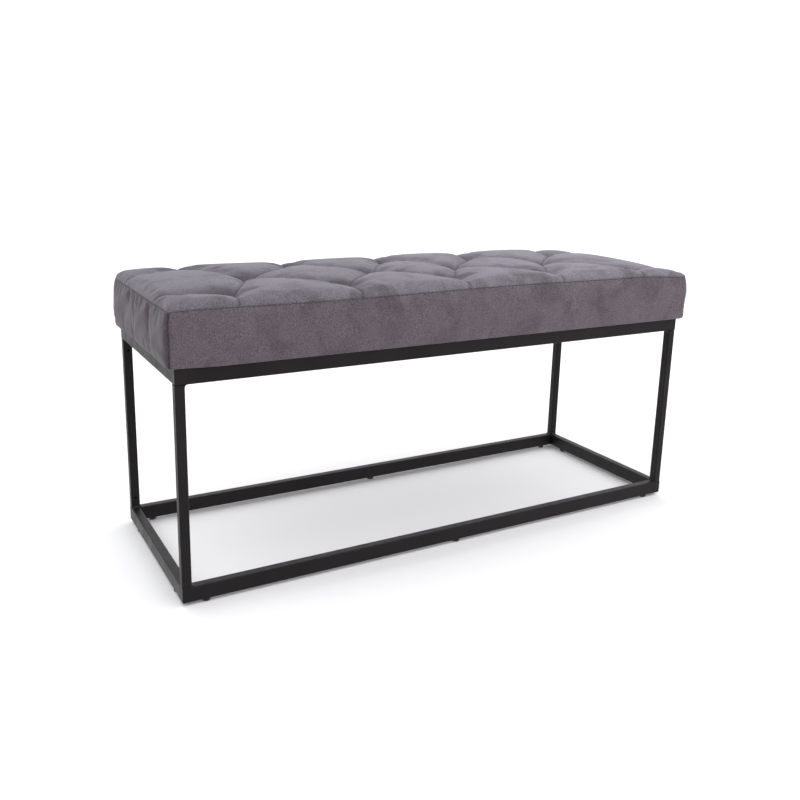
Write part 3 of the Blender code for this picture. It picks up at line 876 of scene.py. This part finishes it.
def tuck_pleats(mesh, corner_seams):
    """Draws the pleats in, and notes on each point its painted shade (near a pleat or seam, and beside each
    tuft) and which panel it is on.
    """
    where = coordinates(mesh)
    on_top = np.empty(len(mesh.vertices), np.float32)
    mesh.attributes["top_panel"].data.foreach_get("value", on_top)
    away = np.full(len(where), 1.0)
    for line in pleat_lines():
        for a, b in zip(line, line[1:]):
            away = np.minimum(away, distance_to_segment(where[:, 0], where[:, 1], a, b))
    # the spot of painted shade beside each tuft
    hollow = np.zeros(len(where))
    for x, y in TUFTS:
        set_x, set_y = hand_set(np.array([x]), np.array([y]))
        to_x, to_y = where[:, 0] - set_x, where[:, 1] - set_y
        (aside_x, wide_x), (aside_y, wide_y) = TUFT_SHADE_SPOT
        near = np.exp(-(((to_x - aside_x) / wide_x) ** 2 + ((to_y - aside_y) / wide_y) ** 2) / 2)
        hollow = np.maximum(hollow, near)
    is_top = on_top > 0.6
    where[:, 2] -= np.where(is_top, 0.0008 * np.exp(-((away / 0.0016) ** 2)), 0)
    set_coordinates(mesh, where)
    # fold is painted shade: how far the cloth colour is darkened in the pleats, beside the tufts, along the
    # top seam and down the corner seams
    fold = np.where(is_top, np.exp(-away / 0.0024) * (0.7 + 0.3 * hollow), 0)
    fold = np.maximum(fold, np.where(is_top, 0.74 * hollow, 0))
    fold = np.maximum(fold, np.where(np.abs(on_top - 0.5) < 0.02, 0.6, 0))
    for path in corner_seams:
        seam_x, seam_y = (np.interp(where[:, 2], path[::-1, 2], path[::-1, axis]) for axis in (0, 1))
        beside = np.hypot(where[:, 0] - seam_x, where[:, 1] - seam_y)
        fold = np.maximum(fold, np.where(on_top < 0.4, 0.9 * np.exp(-((beside / 0.0020) ** 2)), 0))
    float_attribute(mesh, "fold", fold)
    # end_panel marks the end panels, whose cloth colour is painted darker as shade
    beyond_x, beyond_y = np.abs(where[:, 0]) - HALF_LENGTH, np.abs(where[:, 1]) - HALF_DEPTH
    float_attribute(mesh, "end_panel", (beyond_x > beyond_y) & (on_top < 0.4))


def stitch(edit, a, b, lift, radius):
    """One stitch from a to b: a short thread that dives into the cloth at both ends."""
    side = (b - a).normalized().cross(lift)
    rings = []
    for share, bow, thick in STITCH_SHAPE:
        centre = a.lerp(b, share) + lift * radius * bow
        turns = [k * math.pi / 3 for k in range(6)]
        offsets = [lift * math.cos(turn) + side * math.sin(turn) for turn in turns]
        rings.append([edit.verts.new(centre + offset * radius * thick) for offset in offsets])
    for first, second in zip(rings, rings[1:]):
        for k in range(6):
            edit.faces.new((first[k], first[(k + 1) % 6], second[(k + 1) % 6], second[k]))
    edit.faces.new(reversed(rings[0]))
    edit.faces.new(rings[-1])


def seat_stitches(seam_points, corner_paths, thread_material):
    """Short dashes of thread along the seam round the top edge, and down the four upright corner seams."""
    edit = bmesh.new()
    closed = np.concatenate([seam_points, seam_points[:1]])
    for path, rise in [(closed, 0.55)] + [(path, 0.0) for path in corner_paths]:
        spans = np.linalg.norm(np.diff(path, axis=0), axis=1)
        travelled = np.concatenate([[0], np.cumsum(spans)])
        count = int(travelled[-1] / STITCH_PITCH)
        for number in range(count):
            start = number * travelled[-1] / count
            ends = [
                Vector([float(np.interp(place, travelled, path[:, axis])) for axis in range(3)])
                for place in (start, min(start + STITCH_LENGTH, travelled[-1]))
            ]
            middle = (ends[0] + ends[1]) / 2
            over_x = max(abs(middle.x) - (HALF_LENGTH - PLAN_CORNER), 0) * math.copysign(1, middle.x)
            over_y = max(abs(middle.y) - (HALF_DEPTH - PLAN_CORNER), 0) * math.copysign(1, middle.y)
            outward = Vector((over_x, over_y, 0))
            if outward.length > 1e-6 and (ends[1] - ends[0]).length > 1e-4:
                lift = (outward.normalized() + Vector((0, 0, rise))).normalized()
                stitch(edit, *ends, lift, STITCH_RADIUS)
    return piece(bmesh_object("seat_stitches", edit, thread_material), "seat_fabric")


def foam_core(foam_material):
    """The foam, pressed into the cover's tufts: the same form, coarser and a little smaller."""
    stride, inset, drop = 4, 0.004, 0.0035
    columns = sorted({*range(0, len(LINES_X), stride), len(LINES_X) - 1})
    rows = sorted({*range(0, len(LINES_Y), stride), len(LINES_Y) - 1})
    set_x, set_y = hand_set(*np.meshgrid(LINES_X, LINES_Y, indexing="ij"))
    points, faces = [], []
    for i in columns:
        for j in rows:
            x = set_x[i, j] * (HALF_LENGTH - inset) / HALF_LENGTH
            y = set_y[i, j] * (HALF_DEPTH - inset) / HALF_DEPTH
            around = TOP_HEIGHTS[max(i - stride, 0) : i + stride + 1, max(j - stride, 0) : j + stride + 1]
            points.append((x, y, around.min() - drop))
    wide, deep = len(columns), len(rows)
    for i in range(wide - 1):
        for j in range(deep - 1):
            a = i * deep + j
            faces.append((a, a + deep, a + deep + 1, a + 1))
    loop = [i * deep for i in range(wide - 1)]
    loop += [(wide - 1) * deep + j for j in range(deep - 1)]
    loop += [i * deep + deep - 1 for i in range(wide - 1, 0, -1)]
    loop += list(range(deep - 1, 0, -1))
    first = len(points)
    points += [(points[k][0], points[k][1], FOAM_BOTTOM) for k in loop]
    for k in range(len(loop)):
        n = (k + 1) % len(loop)
        faces.append((loop[k], first + k, first + n, loop[n]))
    faces.append(tuple(range(len(points) - 1, first - 1, -1)))
    obj = mesh_object("foam_core", points, faces, foam_material)
    piece(obj, "foam", "foam_block")
    return obj


# ---------------------------------------------------------------- under the seat
def dust_cover_sheet(sheet_material):
    """The black sheet under the board: stapled all round, with light puckers, and sagging in the middle."""
    low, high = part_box("dust_cover")
    middle = (low.z + high.z) / 2
    sag, pucker, staple_pitch = 0.0042, 0.00045, 0.060
    columns, rows = 160, 54
    points, faces = [], []
    for i in range(columns + 1):
        for j in range(rows + 1):
            u, v = 2 * i / columns - 1, 2 * j / rows - 1
            x, y = high.x * u, high.y * v
            free = (1 - u * u) * (1 - v * v)
            near_x = math.exp(-(high.x - abs(x)) / 0.025) * math.cos(2 * math.pi * y / staple_pitch)
            near_y = math.exp(-(high.y - abs(y)) / 0.025) * math.cos(2 * math.pi * x / staple_pitch)
            waves = 0.0004 * math.sin(23 * x + 9 * y) * math.sin(31 * y + 1.1)
            z = middle - sag * free + pucker * (near_x + near_y) * min(1, 12 * free) + waves * free
            points.append((x, y, z))
    for i in range(columns):
        for j in range(rows):
            a = i * (rows + 1) + j
            faces.append((a, a + rows + 1, a + rows + 2, a + 1))
    obj = mesh_object("dust_cover_sheet", points, faces, sheet_material)
    solidify = obj.modifiers.new("thickness", "SOLIDIFY")
    solidify.thickness = 0.0005
    solidify.offset = 0
    piece(obj, "dust_cover_fabric", "dust_cover")
    return obj


def staples(wire_material):
    """Staples round the dust cover's edge, each put in by hand at a slightly different angle."""
    low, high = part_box("dust_cover")
    inset, pitch, crown, wire = 0.008, 0.060, 0.0105, 0.00055
    edit = bmesh.new()
    places = []
    for side in (-1, 1):
        for half, turn in ((high.x, 0), (high.y, 90)):
            room = 2 * (half - 0.05)
            count = int(room / pitch)
            for number in range(count):
                along = -half + 0.05 + (number + 0.5) * room / count
                across = side * ((high.x if turn else high.y) - inset)
                places.append((across, along, turn) if turn else (along, across, turn))
    for x, y, turn in places:
        angle = math.radians(turn + random.uniform(-14, 14))
        spot = Matrix.Translation((x, y, low.z + 0.0001)) @ Matrix.Rotation(angle, 4, "Z")
        rings = []
        for share, height in STAPLE_SHAPE:
            ring = []
            for k in range(8):
                around = k * math.pi / 4
                point = (share * crown / 2, wire * math.cos(around), height + wire * math.sin(around))
                ring.append(edit.verts.new(spot @ Vector(point)))
            rings.append(ring)
        for a, b in zip(rings, rings[1:]):
            for k in range(8):
                edit.faces.new((a[k], a[(k + 1) % 8], b[(k + 1) % 8], b[k]))
        edit.faces.new(rings[0])
        edit.faces.new(reversed(rings[-1]))
    return piece(bmesh_object("staples", edit, wire_material), "fixing_steel")


# ---------------------------------------------------------------- steel frame
def fillet_weld(edit, origin, into, away, across, half_width, radius):
    """A hollow weld bead in the corner where a leg (along away) meets a rail (along into)."""
    arc_steps, width_steps, sunk = 8, 12, 0.0005
    rows = []
    for step in range(width_steps + 1):
        v = 2 * step / width_steps - 1
        size = radius * (1 - 0.35 * v**6) * (1 + 0.05 * math.sin(9 * v + origin.x * 40 + origin.y * 90))
        line = []
        for turn in range(arc_steps + 1):
            angle = turn / arc_steps * math.pi / 2
            u, w = size * (1 - math.cos(angle)), size * (1 - math.sin(angle))
            line.append((u - sunk if turn == 0 else u, w - sunk if turn == arc_steps else w))
        line.append((-sunk, -sunk))
        centre = origin + across * (v * half_width)
        rows.append([edit.verts.new(centre + into * u + away * w) for u, w in line])
    count = len(rows[0])
    for a, b in zip(rows, rows[1:]):
        for k in range(count):
            edit.faces.new((a[k], a[(k + 1) % count], b[(k + 1) % count], b[k]))
    edit.faces.new(rows[0])
    edit.faces.new(reversed(rows[-1]))


def leg_welds(corner, end, steel_material):
    """The two beads at one end of a leg, on its two inner faces."""
    low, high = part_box(f"leg_{corner}")
    sx, sy = math.copysign(1, low.x), math.copysign(1, low.y)
    inner = Vector((low.x if sx > 0 else high.x, low.y if sy > 0 else high.y, 0))
    middle = (low + high) / 2
    up = 1 if end == "top" else -1
    height = high.z if end == "top" else low.z
    gap = 0.0003
    half_width = (high.x - low.x) / 2 - 0.0012
    away = Vector((0, 0, -up))
    edit = bmesh.new()
    for x, y, into, across, radius in (
        (inner.x, middle.y, Vector((-sx, 0, 0)), Vector((0, 1, 0)), WELD_RADIUS),
        (middle.x, inner.y, Vector((0, -sy, 0)), Vector((1, 0, 0)), WELD_RADIUS * 0.85),
    ):
        fillet_weld(edit, Vector((x, y, height + up * gap)), into, away, across, half_width, radius)
    obj = bmesh_object(f"weld_{end}_{corner}", edit, steel_material)
    obj.data.set_sharp_from_angle(angle=math.radians(50))
    return piece(obj, "frame_steel")


def lathe(name, profile, steps, place, material):
    """A solid of revolution about +Z through place; profile starts at the top and ends on the axis."""
    points = [(place[0], place[1], profile[0][1])]
    for radius, height in profile[1:-1]:
        for k in range(steps):
            angle = 2 * math.pi * k / steps
            x, y = place[0] + radius * math.cos(angle), place[1] + radius * math.sin(angle)
            points.append((x, y, height))
    points.append((place[0], place[1], profile[-1][1]))
    faces = [(0, 1 + k, 1 + (k + 1) % steps) for k in range(steps)]
    for ring in range(len(profile) - 3):
        a, b = 1 + ring * steps, 1 + (ring + 1) * steps
        faces += [(a + k, b + k, b + (k + 1) % steps, a + (k + 1) % steps) for k in range(steps)]
    last = 1 + (len(profile) - 3) * steps
    faces += [(last + k, len(points) - 1, last + (k + 1) % steps) for k in range(steps)]
    obj = mesh_object(name, points, faces, material)
    obj.data.set_sharp_from_angle(angle=math.radians(40))
    return obj


def glide_button(node, plastic_material):
    """A push-in glide: a domed button with a rounded rim and a ribbed stem."""
    low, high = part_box(node)
    place = ((low.x + high.x) / 2, (low.y + high.y) / 2)
    radius = (high.x - low.x) / 2
    head = 0.0047
    stem = 0.0036
    profile = [(0, high.z), (stem - 0.0012, high.z), (stem - 0.0002, high.z - 0.0012)]
    for rib in range(3):
        z = high.z - 0.0020 - 0.0016 * rib
        profile += [(stem, z), (stem - 0.0004, z - 0.0004), (stem - 0.0004, z - 0.0011)]
    profile += [(stem, head + 0.0002), (radius - 0.0007, head)]
    profile += [(radius - 0.0002, head - 0.0002), (radius, head - 0.0007)]
    edge = 0.0022
    for step in range(1, 8):
        angle = step / 7 * math.pi / 2
        height = low.z + 0.0003 + (edge - 0.0003) * (1 - math.sin(angle))
        profile.append((radius - edge + edge * math.cos(angle), height))
    profile += [(radius - 0.0035, low.z + 0.0001), (0, low.z)]
    return piece(lathe(f"{node}_button", profile, 40, place, plastic_material), "glide_plastic", node)


# ---------------------------------------------------------------- build
make_camera()
make_stage()

steel = powder_coat()
cloth_material = microfibre()
plastic = moulded_plastic()
zinc = zinc_plate()
plywood = birch_plywood()
twine_material = twine()
foam_material = foam()
FINISHES = (
    (("leg_", "bottom_rail_", "top_rail_", "gusset_"), steel),
    (("seat_screw_", "t_nut_"), zinc),
    (("seat_board",), plywood),
    (("tuft_tie_",), twine_material),
)
for name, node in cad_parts.items():
    for starts, finish in FINISHES:
        if name.startswith(starts):
            node.data.materials.clear()
            node.data.materials.append(finish)
            break

seam_path, corner_paths = seat_cover(cloth_material)
seat_stitches(seam_path, corner_paths, thread())
foam_core(foam_material)
dust_cover_sheet(nonwoven())
staples(zinc)
for end in ("top", "bottom"):
    for corner in CORNERS:
        leg_welds(corner, end, steel)
for node in GLIDES:
    glide_button(node, plastic)
